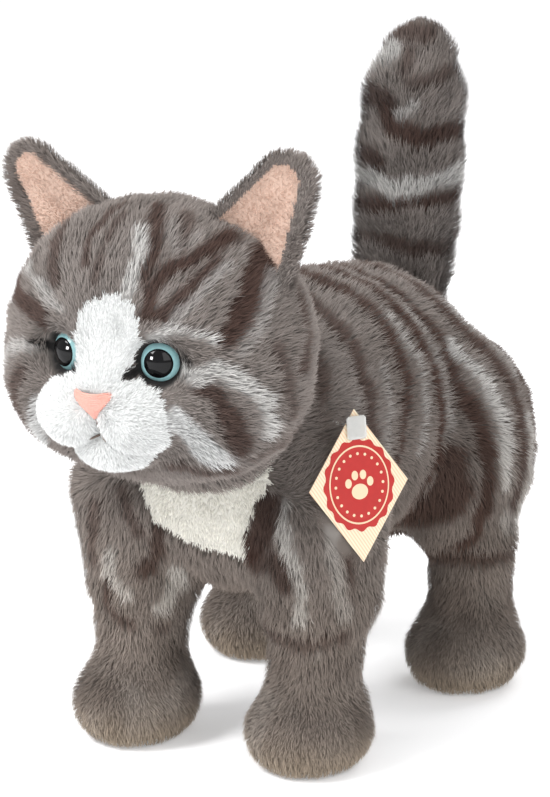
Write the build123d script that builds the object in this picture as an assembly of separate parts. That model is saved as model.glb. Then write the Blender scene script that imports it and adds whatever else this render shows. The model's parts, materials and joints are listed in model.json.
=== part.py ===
from build123d import *

import math
import os

# Standing plush cat, about 0.2 m tall at the ears, with its tail held up and a paper hang tag on its
# shoulder.
#
# Frame, in millimetres: the cat stands on the plane z = 0 and looks along -Y, +X is its left side, +Z is up.
# The origin is on the floor, below the middle of the toy's overall length and width.
#
# The toy is sewn from pile fabric and filled with fibre. Each cover is a thin shell around its filling. The neck,
# the shoulders, the hips and the tail root are balls of filling in shallow sockets, which stand for the soft flex
# there.

# ---- driving dimensions -------------------------------------------------------------------------
PILE = 2.5  # thickness of a pile fabric cover, backing and fur together
GAP = 0.15  # clearance between a cover and its filling
JOINT_GAP = 0.4  # clearance around a ball of filling that turns in its socket

# Each torso section: place along Y, height of its middle, half width, half height.
TORSO = (
    (-57.0, 92.0, 25.0, 27.0),
    (-48.0, 94.0, 37.0, 39.0),
    (-29.0, 99.0, 45.0, 46.0),
    (5.0, 103.0, 46.5, 49.0),
    (40.0, 104.0, 47.5, 49.0),
    (72.0, 101.0, 49.0, 48.0),
    (95.0, 98.0, 41.0, 43.0),
    (107.0, 96.0, 26.0, 31.0),
)
BELLY_TOP = 68.0  # the belly panel is the part of the torso cover below this height
BELLY_HALF_WIDTH = 27.0
BIB_BACK = -44.0  # the cream bib is the part of the torso cover in front of this plane

HEAD = Vector(0, -77.6, 148.8)
HEAD_RADII = (50.0, 38.0, 44.0)
NECK = Vector(0, -52, 118)
NECK_R = 21.0
NECK_CLEAR = (62.5, 49.0, 51.5)  # radii of the hollow that the head moves in

FRONT_FOOT_X, REAR_FOOT_X = 33.2, 42.0  # half the distance between the feet
FRONT_HIP_X, REAR_HIP_X = 33.2, 38.0
FRONT_LEG_Y, REAR_LEG_Y = -34.3, 68.3
HIP_Z = 66.0
HIP_R = 23.0
SOLE = 2.5  # thickness of the sole panel
# Each leg section: height, half width, half length, how far its middle is in front of the leg's axis.
LEG = (
    (SOLE, 17.5, 21.0, 5.0),
    (8.0, 19.5, 23.0, 5.0),
    (18.0, 19.0, 21.0, 4.0),
    (30.0, 15.5, 16.5, 1.5),
    (44.0, 16.0, 16.0, 0.0),
    (57.0, 19.0, 19.0, 0.0),
)

TAIL_ROOT = Vector(0, 95, 134)
TAIL_ROOT_R = 15.0
TAIL_DISH_UP, TAIL_DISH_R = 9.0, 19.0  # the dish in the rump that the tail leans into
# Each tail section: height, place along Y, radius.
TAIL = (
    (136.0, 95.5, 13.5),
    (145.0, 97.5, 14.5),
    (156.0, 100.0, 16.0),
    (178.0, 104.0, 16.8),
    (201.0, 107.0, 16.0),
    (216.0, 108.5, 13.0),
    (224.5, 109.0, 7.5),
)

EAR_BASE = Vector(34.6, -78.0, 182.3)  # middle of the left ear's sewn edge
EAR_ALONG = Vector(0.775, 0.0, -0.632)  # along the sewn edge, from its inner end to its outer end
EAR_UP = Vector(0.630, 0.08, 0.772)
EAR_HALF_BASE = 15.5
EAR_HEIGHT = 28.5
EAR_TIP_SHIFT = -6.5  # the tip leans towards the inner end of the sewn edge
EAR_TIP_R = 6.0
EAR_BULGE_H = 0.3  # the ear is widest at this part of its height
EAR_OUTER, EAR_INNER = 0.86, 1.04  # half widths there, in parts of the half base
EAR_LINING_INSET = 2.5  # width of the rim round the lining
EAR_BACK, EAR_LINING = 3.0, 1.5  # thicknesses

EYE = Vector(16.5, -107.0, 149.0)
EYE_R = 6.5
EYE_DOME = 3.6  # how far the dome stands out
EYE_YAW = 20.0  # degrees that each eye looks outwards
EYE_RIM = 1.0  # thickness of the disc under the dome
PUPIL_R = 4.5
PUPIL_LIFT = 0.5  # how far the pupil stands out of the iris
PUPIL_SINK = 4.0  # how far the pupil's well reaches either side of its middle
PUPIL_MIDDLE = 5.0
FELT_REACH_X, FELT_REACH_Z = 3.2, 0.2  # how far the felt shows past the eye, across and upwards
FELT_THICK, FELT_BACK = 0.6, 1.8
EYE_SEAT = 3.6  # room around the eye in the face
SHANK_R, SHANK_LENGTH = 1.6, 13.0
WASHER_R, WASHER_THICK, WASHER_DEPTH = 5.5, 1.2, 8.0

MUZZLE = Vector(10.5, -106.5, 131.5)  # middle of the left puff
MUZZLE_RADII = (13.5, 14.0, 13.0)
CHIN = Vector(0, -104.0, 120.5)
CHIN_RADII = (15.0, 13.0, 9.0)
BRIDGE = Vector(0, -102.5, 150.5)
BRIDGE_RADII = (11.0, 15.0, 20.0)
NOSE = Vector(0, -121.0, 137.3)
NOSE_HALF_WIDTH, NOSE_HEIGHT, NOSE_THICK = 5.0, 7.0, 1.6
THREAD_R = 0.5

TAG_PIN = Vector(41.4, -33.8, 116.2)  # where the fastener enters the cloth
TAG_DOWN = Vector(0.205, 0.055, -0.977)
TAG_ACROSS = Vector(0.558, 0.828, 0.0)
TAG_HEIGHT, TAG_WIDTH, TAG_THICK = 50.0, 36.5, 0.6
TAG_OFF = 9.5  # how far the card stands off the fastener's entry
TAG_HOLE_DOWN, TAG_HOLE_R = 5.5, 1.2
SEAL_R, SEAL_THICK, SEAL_DOWN = 13.0, 0.3, 25.0
CARD_CORNER_R = 0.8
PADDLE = (7.0, 8.0, 0.8)  # the fastener's flat end: width, height, thickness
PADDLE_DROP = 0.5
FILAMENT_BACK = 2.0  # how far the fastener's thread shows behind the card
TBAR_NECK = 5.0  # length of thread left on the bar under the cloth
FILAMENT_R = 0.6
TBAR_R, TBAR_LENGTH, TBAR_DEPTH = 0.7, 9.0, 7.0

SIDES = {"left": 1, "right": -1}
FAR = 300.0  # further than any point of the toy


# ---- helpers ------------------------------------------------------------------------------------
def ball(center, radius):
    """A sphere at a point."""
    return Pos(center.X, center.Y, center.Z) * Sphere(radius)


def ellipsoid(center, radii, grow=0.0):
    """An ellipsoid with its axes along X, Y and Z, grown or shrunk all round."""
    return Pos(center.X, center.Y, center.Z) * scale(Sphere(1), by=tuple(r + grow for r in radii))


def mirrored(point, side):
    """A point of the left side, moved to the side asked for."""
    return Vector(point.X * side, point.Y, point.Z)


def biggest(shape):
    """The largest solid of a shape, without the slivers that a cut can leave."""
    return max(shape.solids(), key=lambda s: s.volume)


def write(name, shape):
    """One node: every solid of the shape goes into one STEP file."""
    solids = shape.solids()
    export_step(solids[0] if len(solids) == 1 else Compound(children=list(solids)), f"parts/{name}.step")


def box_between(low, high):
    """A box from its lowest corner to its highest corner."""
    size = [b - a for a, b in zip(low, high)]
    middle = [(a + b) / 2 for a, b in zip(low, high)]
    return Pos(*middle) * Box(*size)


# ---- torso --------------------------------------------------------------------------------------
def hips():
    """The four legs: name, pivot, and how far the foot is to the left of the pivot."""
    front = ("front", FRONT_HIP_X, FRONT_FOOT_X, FRONT_LEG_Y)
    rear = ("rear", REAR_HIP_X, REAR_FOOT_X, REAR_LEG_Y)
    for end, hip_x, foot_x, y in (front, rear):
        for side, sign in SIDES.items():
            yield f"{end}_{side}", Vector(sign * hip_x, y, HIP_Z), sign * (foot_x - hip_x)


def torso_solid(inset):
    """The torso's outline, drawn in by inset, with a socket for the neck, each leg and the tail."""
    first, last = TORSO[0][0], TORSO[-1][0]
    sections = []
    for y, middle, half_width, half_height in TORSO:
        at = min(max(y, first + inset), last - inset)
        plane = Plane(origin=(0, at, middle), x_dir=(1, 0, 0), z_dir=(0, 1, 0))
        sections.append(plane * Ellipse(half_width - inset, half_height - inset))
    body = loft(sections)
    body -= ellipsoid(HEAD, NECK_CLEAR, inset)
    body -= ball(NECK, NECK_R + JOINT_GAP + inset)
    body -= ball(TAIL_ROOT, TAIL_ROOT_R + JOINT_GAP + inset)
    body -= ball(TAIL_ROOT + Vector(0, 0, TAIL_DISH_UP), TAIL_DISH_R + inset)
    for _, hip, _ in hips():
        body -= ball(hip, HIP_R + JOINT_GAP + inset)
    return biggest(body)


def build_torso():
    """The torso's filling and its four cover panels, and the hidden end of the tag's fastener."""
    cover = torso_solid(0) - torso_solid(PILE)
    filling = Part() + torso_solid(PILE + GAP)
    front = box_between((-FAR, -FAR, 0), (FAR, BIB_BACK, FAR))
    belly = box_between((-BELLY_HALF_WIDTH, BIB_BACK, 0), (BELLY_HALF_WIDTH, FAR, BELLY_TOP))
    bib = cover & front
    belly_panel = cover & belly
    rest = cover - front - belly
    tbar, pocket = tag_tbar()
    write("chest_bib_panel", bib)
    write("belly_panel", belly_panel)
    for side, sign in SIDES.items():
        write(f"torso_{side}_panel", (rest & half_space(sign)) - pocket)
    write("torso_filling", filling - pocket)
    write("tag_tbar", tbar)


# ---- legs ---------------------------------------------------------------------------------------
def leg_solid(hip, splay, inset, low):
    """A leg's outline from the height low up to its ball, drawn in by inset."""
    sections = []
    for height, half_width, half_length, ahead in LEG:
        at_x = hip.X + splay * (1 - height / HIP_Z)
        plane = Plane(origin=(at_x, hip.Y - ahead, max(height, low)))
        sections.append(plane * Ellipse(half_width - inset, half_length - inset))
    top = Plane(origin=(hip.X, hip.Y, hip.Z)) * Circle(HIP_R - 2.0 - inset)
    return loft([*sections, top]) + ball(hip, HIP_R - inset)


def build_leg(name, hip, splay):
    """One leg: its cover, its filling and its sole panel."""
    height, half_width, half_length, ahead = LEG[0]
    write(f"{name}_leg_cover", leg_solid(hip, splay, 0, SOLE) - leg_solid(hip, splay, PILE, SOLE))
    write(f"{name}_leg_filling", leg_solid(hip, splay, PILE + GAP, SOLE + GAP))
    at_x = hip.X + splay * (1 - height / HIP_Z)
    sole = Plane(origin=(at_x, hip.Y - ahead, 0)) * Ellipse(half_width, half_length)
    write(f"{name}_sole_panel", extrude(sole, SOLE))


# ---- tail ---------------------------------------------------------------------------------------
def tail_solid(inset):
    """The tail's outline, drawn in by inset, with its root ball."""
    sections = []
    top = TAIL[-1][0]
    for height, y, radius in TAIL:
        at = min(height, top - inset)
        sections.append(Plane(origin=(0, y, at)) * Circle(radius - inset))
    return loft(sections) + ball(TAIL_ROOT, TAIL_ROOT_R - inset)


def build_tail():
    """The tail: two cover halves with a seam up the front and the back, and its filling."""
    cover = tail_solid(0) - tail_solid(PILE)
    for side, sign in SIDES.items():
        write(f"tail_{side}_panel", cover & half_space(sign))
    write("tail_filling", tail_solid(PILE + GAP))


# ---- head ---------------------------------------------------------------------------------------
def eye_plane(side):
    """The plane that an eye's back lies on, looking out of the face."""
    yaw = math.radians(EYE_YAW) * side
    return Plane(
        origin=mirrored(EYE, side),
        x_dir=(math.cos(yaw), math.sin(yaw), 0),
        z_dir=(math.sin(yaw), -math.cos(yaw), 0),
    )


def eye_room(side):
    """The space that an eye, its felt, its shank and its washer take out of the head."""
    plane = eye_plane(side)
    seat = plane * (Pos(0, 0, 20) * Cylinder(EYE_R + EYE_SEAT, 44))
    shank = plane * (Pos(0, 0, -SHANK_LENGTH / 2) * Cylinder(SHANK_R + GAP, SHANK_LENGTH + 2 * GAP))
    washer = plane * (Pos(0, 0, -WASHER_DEPTH) * Cylinder(WASHER_R + GAP, WASHER_THICK + 2 * GAP))
    return seat, shank, washer


def muzzle_puffs(inset):
    """The two puffs of the muzzle, drawn in by inset."""
    return ellipsoid(MUZZLE, MUZZLE_RADII, -inset) + ellipsoid(mirrored(MUZZLE, -1), MUZZLE_RADII, -inset)


def without(shape, *others):
    """A shape with other shapes taken out of it, one after another."""
    for other in others:
        shape -= other
    return shape


def half_space(sign):
    """Everything on one side of the plane x = 0."""
    return box_between((min(0, sign * FAR), -FAR, 0), (max(0, sign * FAR), FAR, FAR))


def build_eye(name, side):
    """One safety eye: moulded iris with its shank, black pupil, felt behind it and washer on the shank."""
    plane = eye_plane(side)
    sphere_r = (EYE_R**2 + EYE_DOME**2) / (2 * EYE_DOME)
    cap = Pos(0, 0, EYE_DOME - sphere_r) * Sphere(sphere_r)
    above = Pos(0, 0, 10) * Box(40, 40, 20)
    dome = cap & above
    rim = Pos(0, 0, -EYE_RIM / 2) * Cylinder(EYE_R, EYE_RIM)
    shank = Pos(0, 0, -SHANK_LENGTH / 2) * Cylinder(SHANK_R, SHANK_LENGTH)
    core = Pos(0, 0, PUPIL_MIDDLE) * Cylinder(PUPIL_R, 2 * PUPIL_SINK)
    pupil_cap = Pos(0, 0, EYE_DOME - sphere_r) * Sphere(sphere_r + PUPIL_LIFT)
    pupil = pupil_cap & core
    iris = dome + rim + shank - core
    felt_outline = Ellipse(EYE_R + FELT_REACH_X, EYE_R + FELT_REACH_Z)
    felt = Pos(0, 0, -FELT_BACK) * extrude(felt_outline, FELT_THICK)
    felt -= Pos(0, 0, -FELT_BACK) * Cylinder(SHANK_R + GAP, 4 * FELT_THICK)
    washer = Cylinder(WASHER_R, WASHER_THICK) - Cylinder(SHANK_R + GAP / 3, WASHER_THICK)
    washer = Pos(0, 0, -WASHER_DEPTH) * washer
    write(f"{name}_eye_iris", plane * iris)
    write(f"{name}_eye_pupil", plane * pupil)
    write(f"{name}_eye_felt", plane * felt)
    write(f"{name}_eye_washer", plane * washer)


def nose_pad():
    """The sewn nose: a rounded triangle, point down."""
    with BuildSketch() as outline:
        with BuildLine():
            Polyline(
                (-NOSE_HALF_WIDTH, NOSE_HEIGHT * 0.35),
                (NOSE_HALF_WIDTH, NOSE_HEIGHT * 0.35),
                (0, -NOSE_HEIGHT * 0.65),
                close=True,
            )
        make_face()
        fillet(outline.vertices(), 1.0)
    plane = Plane(origin=NOSE, x_dir=(1, 0, 0), z_dir=(0, -1, 0))
    return plane * extrude(outline.sketch, NOSE_THICK)


def mouth_threads():
    """Three threads: one down from the nose and one along each side of the mouth."""
    top = NOSE.Z - NOSE_HEIGHT * 0.65 - 0.8
    split = top - 6.0
    front = NOSE.Y - 0.2
    down = Pos(0, front, (top + split) / 2) * Cylinder(THREAD_R, top - split - 0.4)
    threads = [down]
    for side in SIDES.values():
        start = Vector(side * 0.8, front, split - 0.8)
        end = Vector(side * 6.5, front + 0.3, split - 4.4)
        line = Line(start, end)
        threads.append(sweep(Plane(origin=start, z_dir=line % 0) * Circle(THREAD_R), path=line))
    return threads


def build_skull(rooms, bridge, chin):
    """The head's two grey cover panels and its filling, hollowed for the neck and the eyes."""
    cover = ellipsoid(HEAD, HEAD_RADII) - ellipsoid(HEAD, HEAD_RADII, -PILE)
    neck = ball(NECK, NECK_R + JOINT_GAP)
    neck_lining = ball(NECK, NECK_R + JOINT_GAP + PILE)
    cover += (ellipsoid(HEAD, HEAD_RADII) & neck_lining) - neck
    cover = without(cover, neck, bridge, chin, *rooms)
    for side, sign in SIDES.items():
        write(f"head_{side}_panel", biggest(cover & half_space(sign)))
    filling = ellipsoid(HEAD, HEAD_RADII, -PILE - GAP)
    write("head_filling", biggest(without(filling, neck_lining, bridge, chin, *rooms)))


def build_face(rooms, bridge, chin):
    """The white bridge, chin and muzzle, with the sewn nose and mouth."""
    skull = ellipsoid(HEAD, HEAD_RADII)
    skull_inside = ellipsoid(HEAD, HEAD_RADII, -PILE)
    puffs = muzzle_puffs(0)
    nose = nose_pad()
    mouth = mouth_threads()
    write("nose_bridge_panel", biggest(without(bridge, skull_inside, puffs, *rooms)))
    write("chin_panel", biggest(without(chin, skull_inside, puffs, bridge)))
    cover = (puffs - skull) - (muzzle_puffs(PILE) - skull)
    write("muzzle_cover", biggest(without(cover, nose, *rooms, *mouth)))
    write("muzzle_filling", muzzle_puffs(PILE + GAP) - ellipsoid(HEAD, HEAD_RADII, GAP))
    write("nose_pad", nose)
    write("mouth_threads", Compound(children=[t.solids()[0] for t in mouth]))


def build_head():
    """The head with its face and eyes, and the ball of filling in the neck."""
    rooms = [room for side in SIDES.values() for room in eye_room(side)]
    bridge = ellipsoid(BRIDGE, BRIDGE_RADII)
    chin = ellipsoid(CHIN, CHIN_RADII)
    build_skull(rooms, bridge, chin)
    build_face(rooms, bridge, chin)
    write("neck_filling", ball(NECK, NECK_R))
    for side, sign in SIDES.items():
        build_eye(side, sign)


def build_ear(name, side):
    """One ear: the striped back and the pale lining, sewn along one straight edge."""
    along, up = mirrored(EAR_ALONG, side), mirrored(EAR_UP, side)
    base = mirrored(EAR_BASE, side)
    forward = along.cross(up) * side
    plane = Plane(origin=base, x_dir=along, z_dir=forward)
    flip = 1 if plane.y_dir.dot(up) > 0 else -1

    def layer(back, thick, inset):
        """One layer of the ear, drawn in by inset."""
        half, tip = EAR_HALF_BASE - inset, EAR_HEIGHT - inset
        with BuildSketch() as outline:
            with BuildLine():
                Polyline(
                    (-half, 0),
                    (half, 0),
                    (half * EAR_OUTER, flip * tip * EAR_BULGE_H),
                    (EAR_TIP_SHIFT, flip * tip),
                    (-half * EAR_INNER, flip * tip * EAR_BULGE_H),
                    close=True,
                )
            make_face()
            upper = [v for v in outline.vertices() if abs(v.Y) > 1]
            fillet(upper, EAR_TIP_R - inset / 2)
        return plane * (Pos(0, 0, back) * extrude(outline.sketch, thick))

    write(f"{name}_ear_back", layer(-EAR_BACK, EAR_BACK, 0))
    write(f"{name}_ear_lining", layer(0, EAR_LINING, EAR_LINING_INSET))


# ---- hang tag -----------------------------------------------------------------------------------
def tag_plane():
    """The plane of the card's back, with its origin on the fastener's axis and its Y axis up the card."""
    normal = TAG_ACROSS.cross(-TAG_DOWN).normalized()
    return Plane(origin=TAG_PIN + normal * TAG_OFF, x_dir=TAG_ACROSS, z_dir=normal)


def tag_tbar():
    """The fastener's bar under the cloth, with its short neck, and the pocket they lie in."""
    plane = tag_plane()
    depth = TAG_OFF + TBAR_DEPTH
    bar = Pos(0, 0, -depth) * (Rot(90, 0, 0) * Cylinder(TBAR_R, TBAR_LENGTH))
    neck = Pos(0, 0, -depth + TBAR_NECK / 2) * Cylinder(FILAMENT_R, TBAR_NECK)
    room = Pos(0, 0, -depth) * (Rot(90, 0, 0) * Cylinder(TBAR_R + GAP, TBAR_LENGTH + 2 * GAP))
    way = Pos(0, 0, -depth + 10) * Cylinder(FILAMENT_R + GAP, 20.0)
    return plane * (bar + neck), plane * (room + way)


def build_tag():
    """The diamond card, its printed seal and the clear fastener through its hole."""
    plane = tag_plane()
    middle = TAG_HOLE_DOWN - TAG_HEIGHT / 2
    with BuildSketch() as diamond:
        with BuildLine():
            Polyline(
                (0, TAG_HOLE_DOWN),
                (TAG_WIDTH / 2, middle),
                (0, middle - TAG_HEIGHT / 2),
                (-TAG_WIDTH / 2, middle),
                close=True,
            )
        make_face()
        fillet(diamond.vertices(), CARD_CORNER_R)
    hole = Cylinder(TAG_HOLE_R, 10)
    card = extrude(diamond.sketch, TAG_THICK) - hole
    seal = Pos(0, TAG_HOLE_DOWN - SEAL_DOWN, TAG_THICK + SEAL_THICK / 2) * Cylinder(SEAL_R, SEAL_THICK)
    top = TAG_THICK + SEAL_THICK
    width, height, thick = PADDLE
    paddle = Pos(0, -PADDLE_DROP, top + thick / 2) * Box(width, height, thick)
    filament = Pos(0, 0, (top + 0.1 - FILAMENT_BACK) / 2) * Cylinder(FILAMENT_R, top + FILAMENT_BACK)
    write("tag_card", plane * card)
    write("tag_seal", plane * seal)
    write("tag_fastener", plane * (paddle + filament))


os.makedirs("parts", exist_ok=True)
build_torso()
for leg_name, leg_hip, leg_splay in hips():
    build_leg(leg_name, leg_hip, leg_splay)
build_tail()
build_head()
for ear_name, ear_side in SIDES.items():
    build_ear(ear_name, ear_side)
build_tag()
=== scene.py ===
"""Looks of a standing tabby plush cat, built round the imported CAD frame.

Lengths are millimetres up to fill_mesh() and to_mesh(), which turn them into metres.
"""
import json
import math

import bpy
import numpy as np
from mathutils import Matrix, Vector


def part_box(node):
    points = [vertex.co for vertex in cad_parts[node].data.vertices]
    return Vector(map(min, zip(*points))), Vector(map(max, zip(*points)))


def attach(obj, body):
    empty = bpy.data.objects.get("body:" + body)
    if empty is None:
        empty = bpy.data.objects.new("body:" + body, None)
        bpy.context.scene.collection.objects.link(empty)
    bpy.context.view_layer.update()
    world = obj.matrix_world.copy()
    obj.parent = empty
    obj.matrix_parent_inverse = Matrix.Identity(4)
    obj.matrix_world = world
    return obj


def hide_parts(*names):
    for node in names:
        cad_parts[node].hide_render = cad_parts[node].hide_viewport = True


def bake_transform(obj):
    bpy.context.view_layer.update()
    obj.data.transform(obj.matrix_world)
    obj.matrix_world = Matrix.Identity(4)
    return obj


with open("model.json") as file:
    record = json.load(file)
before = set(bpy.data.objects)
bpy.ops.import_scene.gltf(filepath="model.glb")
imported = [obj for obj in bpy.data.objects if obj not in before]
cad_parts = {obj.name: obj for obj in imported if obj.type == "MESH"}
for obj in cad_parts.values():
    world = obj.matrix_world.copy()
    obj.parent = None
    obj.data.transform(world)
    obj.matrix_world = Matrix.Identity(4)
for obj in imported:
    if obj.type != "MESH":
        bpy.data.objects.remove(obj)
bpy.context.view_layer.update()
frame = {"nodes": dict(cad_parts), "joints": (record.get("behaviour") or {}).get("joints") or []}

MM = 0.001
JOINTS = {j["name"]: j for j in frame["joints"]}
ENDS, SIDES = ("front", "rear"), {"left": 1, "right": -1}


# ---- places taken from the frame -----------------------------------------------------------------
def mm_box(*nodes):
    """Lowest and highest corner of some CAD nodes together, in millimetres."""
    corners = [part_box(n) for n in nodes]
    low = np.min([np.array(c[0]) for c in corners], axis=0)
    high = np.max([np.array(c[1]) for c in corners], axis=0)
    return low / MM, high / MM


def mid(*nodes):
    """Middle of the box of some CAD nodes, in millimetres."""
    low, high = mm_box(*nodes)
    return (low + high) / 2


def pivot(joint):
    """A joint's place, in millimetres."""
    return np.array(JOINTS[joint]["pos_m"]) / MM


def unit(v):
    """Vectors scaled to length one, along the last axis."""
    v = np.asarray(v, float)
    return v / np.maximum(np.linalg.norm(v, axis=-1, keepdims=True), 1e-9)


def axis_of(joint):
    """A joint's axis, as a unit vector."""
    return unit(JOINTS[joint]["axis"])


HEAD = mid("head_left_panel", "head_right_panel")
HEAD_LOW, HEAD_HIGH = mm_box("head_left_panel", "head_right_panel")
HEAD_HALF_LENGTH = 38.0
HEAD_R = np.array([(HEAD_HIGH[0] - HEAD_LOW[0]) / 2, HEAD_HALF_LENGTH, (HEAD_HIGH[2] - HEAD_LOW[2]) / 2])
HEAD[1] = HEAD_LOW[1] + HEAD_R[1]
HEAD[2] = HEAD_HIGH[2] - HEAD_R[2]
NOSE = mid("nose_pad")
TAIL_ROOT = pivot("tail_bend")
TAG_AT = pivot("tag_swing")
TAG_OUT = axis_of("tag_swing")
TAG_ACROSS = axis_of("tag_lift")
TAG_UP = unit(np.cross(TAG_OUT, TAG_ACROSS))
TAG_TOP, TAG_TALL, TAG_HALF = 5.5, 50.0, 18.2
TAG_MIDDLE = TAG_TOP - TAG_TALL / 2
SEAL_MIDDLE = TAG_MIDDLE + 0.3
UP, BACK = np.array([0, 0, 1.0]), np.array([0, 1.0, 0])


# ---- noise and fields ----------------------------------------------------------------------------
def hash01(cell, seed):
    """A fixed pseudo-random number from 0 to 1 for each whole-number cell."""
    c = cell.astype(np.int64)
    h = c[..., 0] * 73856093 ^ c[..., 1] * 19349663 ^ c[..., 2] * 83492791 ^ (seed * 2654435761)
    h = (h ^ (h >> 13)) * 1274126177 & 0x7FFFFFFF
    h = (h ^ (h >> 15)) * 2246822519 & 0x7FFFFFFF
    return (h % 1000003) / 1000003.0


def noise(p, size, seed=0):
    """Smooth noise from -1 to 1 whose lumps are about size across."""
    q = p / size + 100.0
    base = np.floor(q)
    f = q - base
    f = f * f * (3 - 2 * f)
    total = 0
    for dx in (0, 1):
        for dy in (0, 1):
            for dz in (0, 1):
                corner = base + np.array([dx, dy, dz])
                weight = (f[..., 0] if dx else 1 - f[..., 0]) * (f[..., 1] if dy else 1 - f[..., 1])
                weight = weight * (f[..., 2] if dz else 1 - f[..., 2])
                total = total + weight * hash01(corner, seed)
    return 2 * total - 1


def ellipsoid(p, centre, radii):
    """Signed distance, nearly, to an ellipsoid."""
    q = p - np.asarray(centre, float)
    r = np.asarray(radii, float)
    k0 = np.linalg.norm(q / r, axis=-1)
    k1 = np.linalg.norm(q / (r * r), axis=-1)
    return k0 * (k0 - 1) / np.maximum(k1, 1e-6)


def cone(p, a, b, ra, rb):
    """Signed distance, nearly, to a limb from a to b whose radius goes from ra to rb."""
    a, b = np.asarray(a, float), np.asarray(b, float)
    ab = b - a
    t = np.clip(((p - a) @ ab) / (ab @ ab), 0, 1)
    return np.linalg.norm(p - a - t[..., None] * ab, axis=-1) - (ra + (rb - ra) * t)


def join(d1, d2, k):
    """Smooth union."""
    h = np.clip(0.5 + 0.5 * (d2 - d1) / k, 0, 1)
    return d2 + (d1 - d2) * h - k * h * (1 - h)


def carve(d1, d2, k):
    """Smooth cut of shape 2 out of shape 1."""
    return -join(-d1, d2, k)


def leg_points(end, side):
    """Pivot and sole centre of a leg."""
    return pivot(f"{end}_{side}_leg_flex"), mid(f"{end}_{side}_sole_panel")


def leg_field(p, end, side):
    """One leg, from its top inside the torso down to its paw."""
    hip, sole = leg_points(end, side)
    x, y = sole[0], hip[1]
    if end == "front":
        d = cone(p, (hip[0] - 1, y + 1, 84), (x, y + 2, 60), 22.0, 19.5)
        d = join(d, cone(p, (x, y, 50), (x, y - 1, 26), 15.5, 14.0), 5)
    else:
        d = ellipsoid(p, (hip[0] - 2, y + 1, 84), (23.0, 31.0, 39.0))
        d = join(d, cone(p, (x, y - 1, 55), (x, y - 2, 28), 14.5, 13.5), 4)
    d = join(d, ellipsoid(p, (x, sole[1], 12.5), (19.8, 23.0, 15.5)), 9)
    return carve(d, p[..., 2], 3.5)


def torso_field(p):
    """The torso without its legs."""
    d = ellipsoid(p, (0, -20, 99), (42, 38, 45))
    d = join(d, ellipsoid(p, (0, 22, 103), (44, 60, 48)), 14)
    return join(d, ellipsoid(p, (0, 64, 98), (44, 36, 47)), 14)


def body_field(p):
    """Torso and legs in one smooth skin."""
    d = torso_field(p)
    for end in ENDS:
        for side in SIDES:
            d = join(d, leg_field(p, end, side), 9 if end == "front" else 7)
    return d


def tail_axis(z):
    """Where the tail's middle is along Y at a height."""
    return np.interp(z, (TAIL_ROOT[2], 156, 200, 225), (TAIL_ROOT[1], 97.5, 103.5, 110.5))


def tail_field(p):
    """The upright tail."""
    heights, radii = (128, 145, 160, 180, 203, 214.5), (13.5, 15.0, 16.3, 16.8, 15.6, 11.5)
    d = None
    for i in range(len(heights) - 1):
        a, b = heights[i], heights[i + 1]
        piece = cone(p, (0, tail_axis(a), a), (0, tail_axis(b), b), radii[i], radii[i + 1])
        d = piece if d is None else join(d, piece, 3)
    return d


def eye_frame(side):
    """Centre of an eye's back, and the unit vectors across, up and out of the eye."""
    sign = SIDES[side]
    yaw = math.radians(20) * sign
    out = np.array([math.sin(yaw), -math.cos(yaw), 0])
    across = np.array([math.cos(yaw), math.sin(yaw), 0])
    return mid(f"{side}_eye_pupil") - out * 2.2, across, UP, out


def head_field(p):
    """Head with its cheeks, forehead, muzzle, chin, bridge of the nose, and a hollow round each eye."""
    d = ellipsoid(p, HEAD, HEAD_R)
    for sign in SIDES.values():
        d = join(d, ellipsoid(p, HEAD + (sign * 24, -6, -14), (22, 24, 22)), 10)
    d = join(d, ellipsoid(p, HEAD + (0, -7, 14), (34, 27, 24)), 10)
    for side in SIDES:
        centre, _, _, out = eye_frame(side)
        d = carve(d, ellipsoid(p, centre + out * 7.5, (10.5, 9.5, 8.5)), 3)
    return join(d, face_field(p), 2.0)


def face_field(p):
    """The white face: muzzle puffs with a cleft between them, chin and bridge."""
    d = cone(p, (0, NOSE[1] + 11.5, NOSE[2] + 4), (1, NOSE[1] + 19, NOSE[2] + 19), 10.5, 12.5)
    puffs = None
    for sign in SIDES.values():
        puff = ellipsoid(p, (sign * 11.0, NOSE[1] + 13.0, NOSE[2] - 5.0), (12.8, 14.5, 11.6))
        puffs = puff if puffs is None else join(puffs, puff, 0.8)
    d = join(d, puffs, 2.5)
    return join(d, ellipsoid(p, (0, NOSE[1] + 16.5, NOSE[2] - 16.0), (14.0, 11.5, 8.0)), 1.2)


def gradient(field, p, h=0.4):
    """Outward unit normals of a field at points."""
    g = np.stack([field(p + h * e) - field(p - h * e) for e in np.eye(3)], axis=-1)
    return unit(g)


# ---- turning a field into a mesh -----------------------------------------------------------------
EDGE_ENDS = [
    ((i, j, k), (i + (a == 0), j + (a == 1), k + (a == 2)))
    for a in range(3)
    for i in range(2)
    for j in range(2)
    for k in range(2)
    if (i, j, k)[a] == 0
]


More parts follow.
